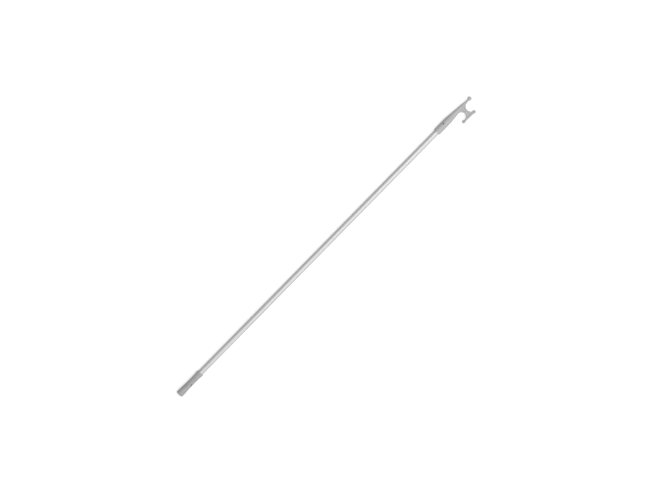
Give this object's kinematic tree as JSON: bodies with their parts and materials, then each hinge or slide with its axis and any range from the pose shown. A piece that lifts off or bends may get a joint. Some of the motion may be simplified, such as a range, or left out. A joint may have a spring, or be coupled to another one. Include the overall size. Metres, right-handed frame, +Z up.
{
  "type": "boat hook",
  "caption": "Boat hook: straight tubular pole, closed hand grip at the butt, and a moulded head with a ball tip and a ball-ended crossbar for catching lines and fending off.",
  "frame": {"origin": "centre of the flat butt end of the hand grip, on the pole's axis", "axes": "+X along the pole from the butt to the tip of the head, +Z up and square to the flat plane of the hook, and the hook turns towards -Y"},
  "size_m": [1.8, 0.0786, 0.033],
  "materials": {
    "pole": "satin clear-anodised drawn tube",
    "head": "fine-textured glass-filled nylon moulding",
    "grip": "matt flexible PVC moulding",
    "plug": "plain polyethylene",
    "rivet": "dark anodised",
    "rivet_stem": "dull snapped steel"
  },
  "bodies": {
    "root": {"pole_tube": "pole", "hook_head": "head", "hand_grip": "grip", "head_end_plug": "plug", "butt_end_plug": "plug", "head_rivets": "rivet", "grip_rivet": "rivet", "head_rivet_stems": "rivet_stem", "grip_rivet_stem": "rivet_stem"}
  },
  "joints": []
}
